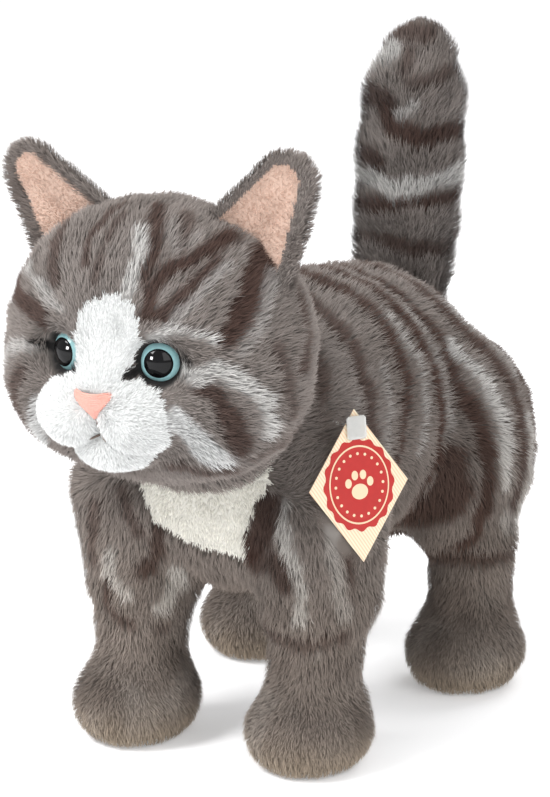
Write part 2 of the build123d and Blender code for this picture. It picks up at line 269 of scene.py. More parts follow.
def skin_of(field, low, high, step):
    """Vertices and quads of the field's zero surface, by surface nets."""
    axes = [np.arange(lo, hi + step, step) for lo, hi in zip(low, high)]
    grid = np.stack(np.meshgrid(*axes, indexing="ij"), axis=-1)
    values = field(grid)
    n = np.array(values.shape) - 1

    def corner(offset):
        return values[tuple(slice(o, o + m) for o, m in zip(offset, n))]

    total, count = np.zeros((*n, 3)), np.zeros(n)
    for a, b in EDGE_ENDS:
        va, vb = corner(a), corner(b)
        crossed = (va < 0) != (vb < 0)
        t = np.where(crossed, va / np.where(crossed, va - vb, 1), 0)
        for axis in range(3):
            total[..., axis] += np.where(crossed, a[axis] + t * (b[axis] - a[axis]), 0)
        count += crossed
    used = count > 0
    index = np.full(tuple(n), -1)
    index[used] = np.arange(used.sum())
    cells = np.argwhere(used)
    verts = np.array(low) + step * (cells + total[used] / count[used][:, None])
    quads = []
    for axis in range(3):
        u, v = (axis + 1) % 3, (axis + 2) % 3
        inner = [slice(1, m) for m in n]
        inner[axis] = slice(0, n[axis])
        here = tuple(inner)
        ahead = tuple(slice(s.start + 1, s.stop + 1) if i == axis else s for i, s in enumerate(inner))
        sa, sb = values[here] < 0, values[ahead] < 0
        for flip, mask in ((False, sa & ~sb), (True, ~sa & sb)):
            at = np.argwhere(mask) + [s.start for s in inner]
            step_u, step_v = np.eye(3, dtype=int)[u], np.eye(3, dtype=int)[v]
            ring = [at - step_u - step_v, at - step_v, at, at - step_u]
            quad = np.stack([index[tuple(r.T)] for r in ring], axis=1)
            quads.append(quad[:, ::-1] if flip else quad)
    quads = np.concatenate(quads)
    quads = quads[(quads >= 0).all(1)]
    for _ in range(2):
        verts = verts - 0.8 * field(verts)[:, None] * gradient(field, verts)
    return verts, quads


def add_object(name, data):
    """A new object of the scene that holds the data."""
    o = bpy.data.objects.new(name, data)
    bpy.context.scene.collection.objects.link(o)
    return o


def to_mesh(name, verts, faces, smooth=True):
    """A mesh object from lists of points and faces."""
    mesh = bpy.data.meshes.new(name)
    mesh.from_pydata((np.asarray(verts) * MM).tolist(), [], [list(map(int, f)) for f in faces])
    mesh.validate()
    if smooth:
        mesh.polygons.foreach_set("use_smooth", [True] * len(mesh.polygons))
    mesh.update()
    return add_object(name, mesh)


# ---- coats: skin and pile together ---------------------------------------------------------------
def fill_mesh(name, verts, faces, colours):
    """A mesh object from arrays: faces is a list of arrays of triangles or quads."""
    mesh = bpy.data.meshes.new(name)
    mesh.vertices.add(len(verts))
    mesh.vertices.foreach_set("co", np.asarray(verts * MM, np.float32).reshape(-1))
    sizes = np.concatenate([np.full(len(f), f.shape[1]) for f in faces])
    corners = np.concatenate([f.reshape(-1) for f in faces])
    mesh.loops.add(len(corners))
    mesh.loops.foreach_set("vertex_index", corners.astype(np.int32))
    mesh.polygons.add(len(sizes))
    starts = np.concatenate([[0], np.cumsum(sizes)[:-1]])
    mesh.polygons.foreach_set("loop_start", starts.astype(np.int32))
    mesh.polygons.foreach_set("use_smooth", np.ones(len(sizes), bool))
    mesh.update(calc_edges=True)
    layer = mesh.attributes.new("coat", "FLOAT_COLOR", "POINT")
    layer.data.foreach_set("color", np.asarray(colours, np.float32).reshape(-1))
    return add_object(name, mesh)


def roots_on(verts, quads, per_mm2, density, rng):
    """Random points on a skin, thinned by density(points) from 0 to 1."""
    tris = np.concatenate([quads[:, [0, 1, 2]], quads[:, [0, 2, 3]]])
    a, b, c = (verts[tris[:, i]] for i in range(3))
    area = np.linalg.norm(np.cross(b - a, c - a), axis=1) / 2
    number = int(area.sum() * per_mm2)
    pick = rng.choice(len(tris), number, p=area / area.sum())
    s, t = rng.random(number), rng.random(number)
    s, t = np.where(s + t > 1, 1 - s, s), np.where(s + t > 1, 1 - t, t)
    p = a[pick] + s[:, None] * (b[pick] - a[pick]) + t[:, None] * (c[pick] - a[pick])
    return p[rng.random(number) < density(p)]


BEND_AT = 0.55  # where along a strand it bends
FLOOR_GAP = 0.15
# SKIN_HEIGHT gives the skin under the pile the painted shade of a low place on a strand
SKIN_HEIGHT = 0.12  # the skin's place between a strand's root and tip, for its shade


def pile(points, normals, comb, length, lean, colour, width, rng, clump, pull):
    """Tapered strands standing on a skin.

    Returns their vertices, quads, triangles and colours, whose fourth value is the height along a strand.
    """
    n = len(points)
    comb = unit(comb - (comb * normals).sum(1, keepdims=True) * normals)
    swirl = np.cross(normals, comb)
    wander = noise(points, 9.0, 3) * 0.4 + rng.normal(0, 0.22, n)
    comb = unit(comb + wander[:, None] * swirl)
    tilt = lean * (1 + 0.25 * noise(points, 6.0, 4)) + rng.normal(0, 0.10, n)
    size = length * (1 + 0.18 * noise(points, 5.0, 5)) * rng.uniform(0.75, 1.15, n)
    first = np.cos(tilt * 0.75)[:, None] * normals + np.sin(tilt * 0.75)[:, None] * comb
    last = np.cos(tilt * 1.25)[:, None] * normals + np.sin(tilt * 1.25)[:, None] * comb
    cell = np.floor(points / clump + 50)
    jitter = np.stack([hash01(cell, 11 + i) for i in range(3)], axis=-1)
    home = (cell - 50 + 0.2 + 0.6 * jitter) * clump
    toward = home - points
    toward = toward - (toward * normals).sum(1, keepdims=True) * normals
    root = points - 0.4 * normals
    middle = root + first * (size * BEND_AT)[:, None] + toward * pull * 0.35
    tip = middle + last * (size * 0.5)[:, None] + toward * pull * 0.65
    side = unit(np.cross(tip - root, normals) + rng.normal(0, 0.25, (n, 3)))
    w = (width * rng.uniform(0.7, 1.2, n))[:, None]
    ring = [root - side * w / 2, root + side * w / 2]
    ring += [middle - side * w * 0.42, middle + side * w * 0.42, tip]
    verts = np.stack(ring, 1).reshape(-1, 3)
    verts[:, 2] = np.maximum(verts[:, 2], FLOOR_GAP)
    base = np.arange(n)[:, None] * 5
    quads = base + np.array([[0, 1, 3, 2]])
    tris = base + np.array([[2, 3, 4]])
    height = np.array([0, 0, BEND_AT, BEND_AT, 1.0])
    rgba = np.empty((n, 5, 4))
    rgba[:, :, :3] = colour[:, None, :]
    rgba[:, :, 3] = height
    return verts, quads, tris, rgba.reshape(-1, 4)


class Coat:
    """A skin with its pile, cut into named regions that each become one piece."""

    def __init__(self, field, low, high, step=1.8):
        self.field = field
        self.verts, self.quads = skin_of(field, low, high, step)
        self.normals = gradient(field, self.verts)
        self.centres = self.verts[self.quads].mean(1)

    def piece(self, name, inside, look, per_mm2, seed):
        """The skin faces and strands where inside(points) is true, as one mesh."""
        rng = np.random.default_rng(seed)
        chosen = self.quads[inside(self.centres)]
        used, back = np.unique(chosen, return_inverse=True)
        skin_verts, skin_quads = self.verts[used], back.reshape(-1, 4)
        roots = roots_on(skin_verts, skin_quads, per_mm2, look["density"], rng)
        normals = gradient(self.field, roots)
        colour = look["colour"](roots, normals) * np.exp(rng.normal(0, 0.10, len(roots)))[:, None]
        strand = pile(
            roots, normals, look["comb"](roots, normals), look["length"](roots), look["lean"](roots),
            colour, look["width"], rng, look["clump"], look["pull"],
        )
        skin_colour = np.ones((len(skin_verts), 4))
        skin_colour[:, :3] = look["colour"](skin_verts, self.normals[used])
        # painted shade on the skin under the pile
        skin_colour[:, 3] = SKIN_HEIGHT
        start = len(skin_verts)
        verts = np.concatenate([skin_verts, strand[0]])
        faces = [skin_quads, strand[1] + start, strand[2] + start]
        return fill_mesh(name, verts, faces, np.concatenate([skin_colour, strand[3]]))


# ---- colours of the coat -------------------------------------------------------------------------
GREY = np.array([0.290, 0.256, 0.236])
DARK_GREY = np.array([0.148, 0.122, 0.108])
BROWN = np.array([0.056, 0.025, 0.017])
SILVER = np.array([0.62, 0.61, 0.59])
BEIGE = np.array([0.38, 0.32, 0.25])
WHITE = np.array([0.75, 0.76, 0.755])
CREAM = np.array([0.82, 0.80, 0.73])
PEACH = np.array([0.66, 0.47, 0.38])
BLACK = np.array([0.012, 0.010, 0.010])
WARM = np.array([0.02, -0.03, -0.09])
INKS = {"brown": BROWN, "silver": SILVER, "white": WHITE, "grey": GREY, "dark": DARK_GREY}


def ramp(x, low, high):
    """0 below low, 1 above high, smooth between."""
    t = np.clip((x - low) / (high - low), 0, 1)
    return t * t * (3 - 2 * t)


def mix(a, b, w):
    """Colours a and b mixed by weights w."""
    return a * (1 - w[..., None]) + b * w[..., None]


def grey_ground(p):
    """The uneven grey that the markings lie on."""
    shade = 0.5 + 0.5 * noise(p, 14.0, 21)
    fine = 0.5 + 0.5 * noise(p, 4.0, 22)
    return mix(GREY, DARK_GREY, 0.42 * shade + 0.25 * fine)


def stroke_distance(q, path):
    """Distance from points to a polyline, in the space that both are given in."""
    path = np.asarray(path, float)
    best = None
    for a, b in zip(path[:-1], path[1:]):
        ab = b - a
        t = np.clip(((q - a) @ ab) / (ab @ ab), 0, 1)
        d = np.linalg.norm(q - a - t[..., None] * ab, axis=-1)
        best = d if best is None else np.minimum(best, d)
    return best


def draw(c, p, q, strokes, where=None):
    """Paints strokes over colours c: each is an ink, a width, a strength and a path in q's space."""
    rough = 1.1 * noise(p, 7.0, 91) + 0.8 * noise(p, 3.0, 92)
    for ink, width, strength, path in strokes:
        edge = stroke_distance(q, path) + rough - width * 0.5
        w = strength * (1 - ramp(edge, -1.3, 1.1))
        if where is not None:
            w = w * where
        c = mix(c, INKS[ink], w)
    return c


# Head markings: ink, width in mm, strength, and a path of (degrees left of the nose, degrees up).
HEAD_STROKES = (
    ("brown", 5.5, 0.90, ((23, 22), (24, 30), (30, 37), (45, 43), (60, 47), (74, 50))),
    ("brown", 5.0, 0.85, ((30, 22), (38, 27), (48, 35), (56, 40))),
    ("brown", 5.0, 0.85, ((22, 36), (25, 48), (24, 60), (18, 74))),
    ("brown", 3.5, 0.60, ((40, 46), (46, 56), (52, 66))),
    ("brown", 8.0, 0.90, ((86, 40), (76, 33), (68, 27), (60, 18), (56, 12))),
    ("brown", 6.0, 0.85, ((44, -7), (50, -11), (54, -18), (58, -25), (62, -31))),
    ("brown", 4.0, 0.70, ((92, 22), (91, 8), (86, -4))),
    ("brown", 4.0, 0.60, ((74, 4), (78, -8), (82, -20))),
    ("brown", 4.5, 0.70, ((34, -50), (42, -46), (52, -48), (64, -44))),
    ("brown", 4.0, 0.50, ((70, -36), (82, -32), (94, -30))),
    ("silver", 4.2, 0.85, ((12, 26), (14, 34), (17, 43), (16, 52), (13, 57))),
    ("silver", 2.6, 0.90, ((25, 12), (33, 16), (45, 13), (50, 11))),
    ("silver", 6.0, 0.90, ((42, -4), (50, -1), (60, -6), (67, -14), (72, -24))),
    ("white", 7.0, 0.85, ((35, -22), (42, -28), (49, -34), (55, -38))),
    ("silver", 3.5, 0.35, ((60, 38), (50, 33), (42, 24), (36, 21))),
    ("silver", 4.0, 0.30, ((82, 30), (74, 22), (66, 12), (60, 5))),
    ("silver", 4.0, 0.12, ((34, 60), (36, 48), (50, 52))),
    ("brown", 4.5, 0.75, ((-14, 40), (-22, 50), (-26, 60), (-30, 70))),
    ("brown", 3.5, 0.60, ((-6, 34), (-8, 48), (-10, 66))),
    ("brown", 6.0, 0.85, ((-34, 15), (-46, 17), (-62, 17), (-78, 15))),
    ("brown", 5.0, 0.70, ((-30, 30), (-42, 40), (-56, 48), (-70, 52))),
    ("brown", 6.0, 0.75, ((-86, 40), (-76, 30), (-70, 20))),
    ("brown", 5.0, 0.70, ((-46, -10), (-54, -20), (-62, -32))),
    ("silver", 3.5, 0.50, ((-22, 20), (-34, 24), (-50, 27), (-62, 28))),
    ("silver", 4.5, 0.55, ((-44, 0), (-56, -2), (-66, -12), (-72, -24))),
    ("white", 6.0, 0.70, ((-38, -24), (-46, -32), (-54, -38))),
    ("brown", 5.0, 0.70, ((120, 60), (126, 30), (128, 0), (126, -25))),
    ("brown", 5.0, 0.70, ((-120, 60), (-126, 30), (-128, 0), (-126, -25))),
    ("brown", 6.0, 0.70, ((180, 80), (178, 40), (180, 0), (176, -30))),
    ("silver", 5.0, 0.50, ((150, 60), (152, 20), (150, -20))),
    ("silver", 5.0, 0.50, ((-150, 60), (-152, 20), (-150, -20))),
)
# Flank markings: the path is (place along Y, height).
LEFT_FLANK_STROKES = (
    ("brown", 6.0, 0.70, ((-40, 112), (-34, 124), (-24, 138), (-16, 148))),
    ("brown", 7.0, 0.75, ((-22, 92), (-18, 108), (-10, 128), (-4, 144), (0, 152))),
    ("brown", 6.0, 0.85, ((-4, 84), (2, 100), (12, 122), (14, 138), (14, 152))),
    ("brown", 6.5, 0.90, ((30, 74), (33, 90), (32, 112), (30, 130), (28, 152))),
    ("brown", 5.5, 0.85, ((52, 58), (51, 80), (46, 108), (45, 128), (42, 152))),
    ("brown", 6.0, 0.80, ((68, 60), (67, 84), (66, 110), (62, 130), (58, 152))),
    ("brown", 5.0, 0.70, ((82, 62), (82, 86), (79, 110), (74, 130), (72, 150))),
    ("brown", 6.0, 0.60, ((94, 70), (96, 90), (94, 112), (88, 130))),
    ("brown", 9.0, 0.80, ((38, 66), (42, 76), (40, 90))),
    ("brown", 5.0, 0.70, ((40, 56), (50, 51), (62, 50), (74, 52))),
    ("silver", 3.0, 0.45, ((16, 96), (20, 112), (22, 124), (20, 140))),
    ("silver", 5.5, 0.75, ((58, 78), (57, 96), (55, 116), (52, 124))),
    ("silver", 3.0, 0.30, ((38, 98), (38, 116), (37, 138))),
    ("silver", 9.0, 0.50, ((90, 104), (93, 90), (93, 72))),
    ("silver", 8.0, 0.40, ((64, 64), (74, 58), (84, 60))),
    ("silver", 4.5, 0.50, ((74, 112), (72, 124), (68, 134))),
    ("silver", 6.5, 0.60, ((74, 62), (75, 80), (74, 96))),
    ("silver", 3.0, 0.30, ((-12, 92), (-6, 110), (2, 126))),
    ("silver", 3.0, 0.25, ((-30, 90), (-28, 106), (-22, 120))),
)
# Front markings of the front legs and the chest: the path is (place along X, height).
FRONT_STROKES = (
    ("silver", 4.0, 0.75, ((31, 92), (34, 80), (37, 66), (36, 56))),
    ("silver", 3.0, 0.40, ((40, 44), (41, 34))),
    ("brown", 9.0, 0.90, ((18, 78), (23, 84), (26, 92))),
    ("brown", 7.0, 0.80, ((20, 74), (28, 76), (31, 68))),
    ("brown", 5.5, 0.85, ((51, 74), (53, 62), (55, 50), (56, 44))),
    ("brown", 4.0, 0.60, ((22, 50), (28, 47), (40, 47), (48, 50))),
    ("silver", 3.5, 0.35, ((46, 84), (47, 70), (48, 58))),
    ("brown", 6.0, 0.80, ((-17, 78), (-20, 70), (-23, 64))),
    ("brown", 5.0, 0.75, ((-36, 58), (-37, 50), (-30, 44))),
    ("brown", 5.0, 0.75, ((-20, 42), (-12, 45), (-9, 52))),
    ("brown", 5.0, 0.60, ((-38, 86), (-40, 76), (-42, 66))),
    ("silver", 5.0, 0.70, ((-14, 64), (-17, 56), (-20, 50))),
    ("silver", 4.5, 0.60, ((-33, 70), (-35, 62), (-30, 56))),
    ("brown", 5.0, 0.60, ((-28, 92), (-26, 84), (-24, 78))),
)
# Tail rings: the path is (place along X, height).
TAIL_STROKES = (
    ("brown", 5.0, 0.80, ((-20, 150), (-4, 152), (6, 150), (20, 147))),
    ("brown", 5.5, 0.90, ((-20, 163), (0, 164), (20, 166))),
    ("brown", 5.5, 0.90, ((-20, 182), (-8, 181), (-2, 179))),
    ("brown", 7.5, 0.90, ((-2, 196), (3, 190), (10, 187), (20, 190))),
    ("brown", 8.5, 0.85, ((-20, 199), (-8, 202), (-2, 201))),
    ("brown", 4.0, 0.65, ((5, 206), (12, 208), (20, 213))),
    ("brown", 5.0, 0.70, ((-10, 220), (0, 223), (6, 222))),
    ("brown", 3.5, 0.60, ((2, 216), (3, 210))),
    ("silver", 6.0, 0.90, ((-20, 174), (-4, 173), (4, 169), (12, 171), (20, 176))),
    ("silver", 5.5, 0.75, ((-20, 209), (-10, 212), (-4, 216))),
    ("silver", 3.5, 0.60, ((3, 196), (6, 199))),
)


def body_colour(p, n):
    """Torso and upper legs: grey with ribs of brown and silver, and painted shade darkening the flank behind
    the shoulder.
    """
    x, y, z = p[..., 0], p[..., 1], p[..., 2]
    c = grey_ground(p)
    flank = np.stack([y, z], axis=-1)
    # painted shade: darker grey over the flank behind the shoulder
    shade = ramp(y, -20, 5) * (1 - ramp(y, 45, 65)) * ramp(z, 50, 75) * (1 - ramp(z, 125, 150))
    c = mix(c, DARK_GREY, 0.55 * shade)
    front = ramp(-n[..., 1], 0.35, 0.6) * ramp(-y, 28, 36)
    c = draw(c, p, flank, LEFT_FLANK_STROKES, where=(1 - front) * (x >= 0))
    other = np.stack([y - 5, z + 2], axis=-1)
    c = draw(c, p, other, LEFT_FLANK_STROKES, where=(1 - front) * (x < 0))
    return draw(c, p, np.stack([x, z], axis=-1), FRONT_STROKES, where=front)


def coat_colour(p, n):
    """Body colours, plain below the upper legs with painted shade on the rear lower legs under the haunch,
    beige at the soles.
    """
    z = p[..., 2]
    c = body_colour(p, n)
    ground = grey_ground(p)
    ground = mix(ground, SILVER, 0.16 * ramp(noise(p, 12.0, 45), 0.1, 0.6))
    ground = mix(ground, DARK_GREY, 0.55 * ramp(noise(p, 10.0, 47), 0.0, 0.6))
    # painted shade on the rear lower legs, under the haunch
    ground = mix(ground, DARK_GREY, 0.55 * ramp(p[..., 1], 10, 40) * ramp(z, 18, 34))
    c = mix(ground, c, ramp(z + 3 * noise(p, 9.0, 41), 38, 47))
    c = mix(c, BEIGE, 0.70 * (1 - ramp(z + 1.5 * noise(p, 6.0, 46), 3, 20)))
    return c * (1 + WARM * (1 - ramp(z, 45, 115))[..., None])


def tail_colour(p, n):
    """Tail: brown and silver rings that don't meet at the seam."""
    return draw(grey_ground(p), p, p[..., [0, 2]], TAIL_STROKES)


def direction(lon, lat):
    """Unit vectors from degrees left of the nose and degrees up."""
    lon, lat = np.radians(lon), np.radians(lat)
    return np.stack([np.sin(lon) * np.cos(lat), -np.cos(lon) * np.cos(lat), np.sin(lat)], axis=-1)


def almond(p):
    """How far points are inside the black almond round either eye: 1 inside, 0 outside."""
    inside = np.zeros(p.shape[:-1])
    for side, sign in SIDES.items():
        centre, across, up, out = eye_frame(side)
        u, v = (p - centre) @ across * sign, (p - centre) @ up
        near = np.linalg.norm(p - centre, axis=-1) < 16
        inner = stroke_distance(np.stack([u, v], -1), ((-5.0, -1.5), (-10.5, -4.0)))
        outer = stroke_distance(np.stack([u, v], -1), ((5.0, 0.5), (9.8, 1.2)))
        ring = np.hypot(u, v) - 7.6
        inner = inner - 1.3 - 0.25 * (u + 10.5)
        outer = outer - 1.2 - 0.25 * (9.8 - u)
        d = np.minimum(ring, np.minimum(inner, outer))
        inside = np.maximum(inside, (1 - ramp(d, -0.6, 0.8)) * near)
    return inside


HEAD_BALL = 44.0  # radius of the ball that the head's strokes are drawn on


def head_colour(p, n):
    """Head: brown and silver streaks that run back from the face, and black round the eyes."""
    strokes = []
    for ink, width, strength, path in HEAD_STROKES:
        strokes.append((ink, width, strength, direction(*np.transpose(path)) * HEAD_BALL))
    c = draw(grey_ground(p), p, unit(p - HEAD) * HEAD_BALL, strokes)
    return mix(c, BLACK, almond(p))


def plain(colour):
    """A colour function that gives one colour with slight unevenness."""

    def paint(p, n):
        return colour * (1 + 0.05 * noise(p, 8.0, 81))[..., None]

    return paint


# ---- materials -----------------------------------------------------------------------------------
def set_inputs(node, inputs):
    """Sets a node's inputs, whose names have underscores for spaces."""
    for key, value in inputs.items():
        node.inputs[key.replace("_", " ")].default_value = value


def add_node(tree, kind, settings=(), **inputs):
    """A shader node with its settings made first and its inputs after."""
    node = tree.nodes.new("ShaderNode" + kind)
    for key, value in dict(settings).items():
        setattr(node, key, value)
    set_inputs(node, inputs)
    return node


def wire(tree, *links):
    """Links, each from a node's output to a node's input."""
    for source, output, target, entry in links:
        tree.links.new(source.outputs[output], target.inputs[entry])


def new_material(name, roughness, **inputs):
    """A node material with its shader's inputs set."""
    material = bpy.data.materials.new(name)
    material.use_nodes = True
    shader = material.node_tree.nodes["Principled BSDF"]
    set_inputs(shader, {"Roughness": roughness, **inputs})
    return material, material.node_tree, shader


def coat_material(name, painted_root_shade, sheen):
    """Pile: the coat's colour with painted shade, darker at the root of each strand and a little lighter at
    its tip.
    """
    material, tree, shader = new_material(
        name, 0.85, Sheen_Weight=sheen, Sheen_Roughness=0.6, Specular_IOR_Level=0.15
    )
    attribute = add_node(tree, "Attribute", {"attribute_name": "coat"})
    # painted shade: the colour darkens towards each strand's root and lightens a little at its tip
    shade = add_node(tree, "MapRange", To_Min=painted_root_shade, To_Max=1.12)
    colour = add_node(tree, "VectorMath", {"operation": "SCALE"})
    wire(
        tree, (attribute, "Alpha", shade, "Value"), (attribute, "Color", colour, 0),
        (shade, "Result", colour, "Scale"), (colour, "Vector", shader, "Base Color"),
    )
    return material


def mottled(name, colour, other, scale, roughness, **inputs):
    """A solid material with two close colours mixed by noise."""
    material, tree, shader = new_material(name, roughness, **inputs)
    place = add_node(tree, "TexCoord")
    texture = add_node(tree, "TexNoise", Scale=scale)
    blend = add_node(tree, "Mix", {"data_type": "RGBA"}, A=(*colour, 1), B=(*other, 1))
    wire(
        tree, (place, "Object", texture, "Vector"), (texture, "Fac", blend, "Factor"),
        (blend, "Result", shader, "Base Color"),
    )
    return material


TABBY = coat_material("tabby_pile", 0.50, 0.06)
PALE = coat_material("pale_pile", 0.74, 0.08)


def finish_piece(o, body, slot, material, *nodes):
    """Gives a piece its material and body, if any, and hides the CAD nodes it stands for; slot is not used.
    """
    if material:
        o.data.materials.append(material)
    if body:
        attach(o, body)
    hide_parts(*nodes)
    return o


# ---- the coats -----------------------------------------------------------------------------------
def look(colour, comb, length, lean, width=0.30, clump=2.4, pull=0.24, density=None):
    """How a region's pile looks."""
    return {
        "colour": colour, "comb": comb, "width": width, "clump": clump, "pull": pull,
        "length": length if callable(length) else lambda p: np.full(len(p), float(length)),
        "lean": lean if callable(lean) else lambda p: np.full(len(p), float(lean)),
        "density": density or (lambda p: np.ones(len(p))),
    }


def outside_head(p):
    """Thins the torso's pile where the head covers it."""
    return np.where(head_field(p) > -3.0, 1.0, 0.15)


def body_comb(p, n):
    """Pile runs back along the torso and down the flanks and legs."""
    w = ramp(p[:, 2], 60, 110)[:, None]
    return -UP * (1.15 - w) + BACK * w


def body_length(p):
    """Shorter pile on the paws."""
    return tag_room(p, 3.4 + 1.9 * ramp(p[:, 2], 12, 55))


def tag_room(p, length):
    """Shorter pile where the hang tag lies over it."""
    q = p - TAG_AT
    u, v, w = q @ TAG_ACROSS, q @ TAG_UP, q @ TAG_OUT
    inside = np.abs(u) / TAG_HALF + np.abs(v - TAG_MIDDLE) / (TAG_TALL / 2) < 1.25
    room = np.clip(-1.1 * (w + 1.0), 0.5, None)
    return np.where(inside & (w > -14) & (w < 8), np.minimum(length, room), length)


def nearest_leg(p):
    """Index of the leg that each point belongs to, or -1 for the torso."""
    torso = torso_field(p) + 1.0
    legs = [leg_field(p, end, side) for end in ENDS for side in SIDES]
    every = np.stack([torso, *legs], axis=-1)
    return every.argmin(-1) - 1


DENSE = 1.0
BODY_PER_MM2 = 2.1 * DENSE
BIB_BACK = mm_box("chest_bib_panel")[1][1]
BELLY_HALF = mm_box("belly_panel")[1][0]

# Lower edge of the bib: place along X and height.
BIB_EDGE = (
    (-38, 99), (-30, 88), (-22, 82), (-10, 76.5), (4, 73), (12, 71.5), (18, 72), (22, 78), (25, 92),
)


def in_bib(p):
    """The cream bib on the chest."""
    x = p[..., 0]
    lower = np.interp(x, *np.transpose(BIB_EDGE)) + 0.8 * noise(p, 7.0, 12)
    return (p[..., 1] < BIB_BACK + 8) & (p[..., 2] > lower) & (x > -38) & (x < 25) & (p[..., 2] < 112)


def in_belly(p):
    """The belly between the legs."""
    return (p[..., 2] < 60) & (np.abs(p[..., 0]) < BELLY_HALF)


body = Coat(body_field, (-72, -70, 2), (72, 122, 156), 1.8)
main_look = look(coat_colour, body_comb, body_length, 1.0, density=outside_head)
bib_look = look(plain(CREAM), body_comb, 2.2, 1.05, clump=4.0, pull=0.15, density=outside_head)


def on_bib(p):
    """True on the torso's bib."""
    return (nearest_leg(p) < 0) & in_bib(p)


def on_belly(p):
    """True on the torso's belly panel."""
    return (nearest_leg(p) < 0) & ~in_bib(p) & in_belly(p)


def on_flanks(p):
    """True on the torso's two side panels."""
    return (nearest_leg(p) < 0) & ~in_bib(p) & ~in_belly(p)


def everywhere(p):
    """True at every point."""
    return np.ones(p.shape[:-1], bool)


def coat_piece(coat, name, inside, its_look, per_mm2, seed, body_name, nodes, slot="grey_pile"):
    """One piece of a coat, with its material and the CAD nodes it stands for."""
    material = TABBY if slot == "grey_pile" else PALE
    return finish_piece(coat.piece(name, inside, its_look, per_mm2, seed), body_name, slot, material, *nodes)


def two_halves(coat, name, where, its_look, per_mm2, seed, body_name):
    """The left and right pieces of a coat; the left one also stands for the filling."""
    halves = []
    for i, (side, sign) in enumerate(SIDES.items()):
        nodes = [f"{name}_{side}_panel"] + [f"{name}_filling"] * (sign > 0)
        half = lambda p, sign=sign: where(p) & (p[..., 0] * sign >= 0)
        piece = f"{name}_{side}_coat"
        halves.append(coat_piece(coat, piece, half, its_look, per_mm2, seed + i, body_name, nodes))
    return halves


coat_piece(body, "chest_bib", on_bib, bib_look, 3.2 * DENSE, 1, "torso", ["chest_bib_panel"], "cream_pile")
coat_piece(body, "belly_coat", on_belly, main_look, BODY_PER_MM2 * 0.8, 2, "torso", ["belly_panel"])
two_halves(body, "torso", on_flanks, main_look, BODY_PER_MM2, 3, "torso")
for i, (end, side) in enumerate((e, s) for e in ENDS for s in SIDES):
    name = f"{end}_{side}_leg"
    nodes = [f"{name}_cover", f"{name}_filling", f"{end}_{side}_sole_panel"]
    on_leg = lambda p, i=i: nearest_leg(p) == i
    limb = coat_piece(body, f"{name}_coat", on_leg, main_look, BODY_PER_MM2 * 1.3, 10 + i, None, nodes)
    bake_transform(limb)

tail = Coat(tail_field, (-24, 72, 110), (24, 130, 228), 1.6)


def tail_comb(p, n):
    """The tail's pile points up."""
    return UP + 0.3 * n


tail_look = look(tail_colour, tail_comb, 5.6, 0.85)
for half in two_halves(tail, "tail", everywhere, tail_look, BODY_PER_MM2 * 1.4, 20, None):
    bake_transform(half)

head = Coat(head_field, HEAD - (60, 56, 52), HEAD + (60, 46, 52), 1.6)

# Half of the white face's outline: degrees from the nose's meridian and degrees up.
FACE_EDGE = (
    (0, 30), (4, 29.5), (9, 27.5), (13, 23.5), (16, 17), (17.5, 9), (18, 2), (21, -4), (26, -9),
    (30, -15), (32, -23), (32, -31), (29, -39), (20, -47), (0, -54),
)


def is_face(p):
    """True inside the white blaze, muzzle and chin."""
    q = p - HEAD
    lon = np.degrees(np.arctan2(q[..., 0], -q[..., 1])) - 4.0 * ramp(q[..., 2], -8, 2)
    lat = np.degrees(np.arctan2(q[..., 2], np.hypot(q[..., 0], q[..., 1])))
    inside = np.zeros(lon.shape, bool)
    off_middle = np.abs(lon) + 0.8 * noise(p, 6.0, 13)
    for (a1, b1), (a2, b2) in zip(FACE_EDGE[:-1], FACE_EDGE[1:]):
        here = (lat <= max(b1, b2)) & (lat > min(b1, b2))
        inside |= here & (off_middle < a1 + (a2 - a1) * (lat - b1) / (b2 - b1))
    return inside & (almond(p) < 0.5)


def is_cheek(p):
    """True on the head's grey sides."""
    return ~is_face(p)


def head_comb(p, n):
    """Pile runs from the nose out over the face and back over the head."""
    return unit(p - NOSE) + np.array([0, 0.6, 0])


BARE_ROUND_EYE = 8.3


def off_eyes(p):
    """No pile in front of the eyes."""
    keep = np.ones(len(p))
    for side in SIDES:
        centre, _, _, out = eye_frame(side)
        keep[np.linalg.norm(p - centre - out * 1.5, axis=1) < BARE_ROUND_EYE] = 0.0
    return keep


def head_length(p):
    """Short pile at the face, longer on the cheeks and the back."""
    return 2.5 + 2.3 * ramp(np.linalg.norm(p - NOSE, axis=1), 20, 50)


head_look = look(head_colour, head_comb, head_length, 1.0, density=off_eyes)
face_look = look(plain(WHITE), head_comb, 2.0, 1.0, width=0.28, clump=3.0, pull=0.10, density=off_eyes)
two_halves(head, "head", is_cheek, head_look, BODY_PER_MM2 * 1.4, 30, "head")
face_nodes = ["nose_bridge_panel", "chin_panel", "muzzle_cover", "muzzle_filling"]
coat_piece(head, "white_face", is_face, face_look, 5.5 * DENSE, 33, "head", face_nodes, "cream_pile")

# ---- ears ----------------------------------------------------------------------------------------
EAR_HALF, EAR_TALL, EAR_TIP, EAR_ROUND, EAR_THICK = 17.5, 30.5, -4.0, 9.5, 4.2
EAR_ROOT = 7.0  # how far the ear goes on inside the head
EAR_DROOP = {"left": -3.0, "right": 13.0}  # degrees that each ear is turned down


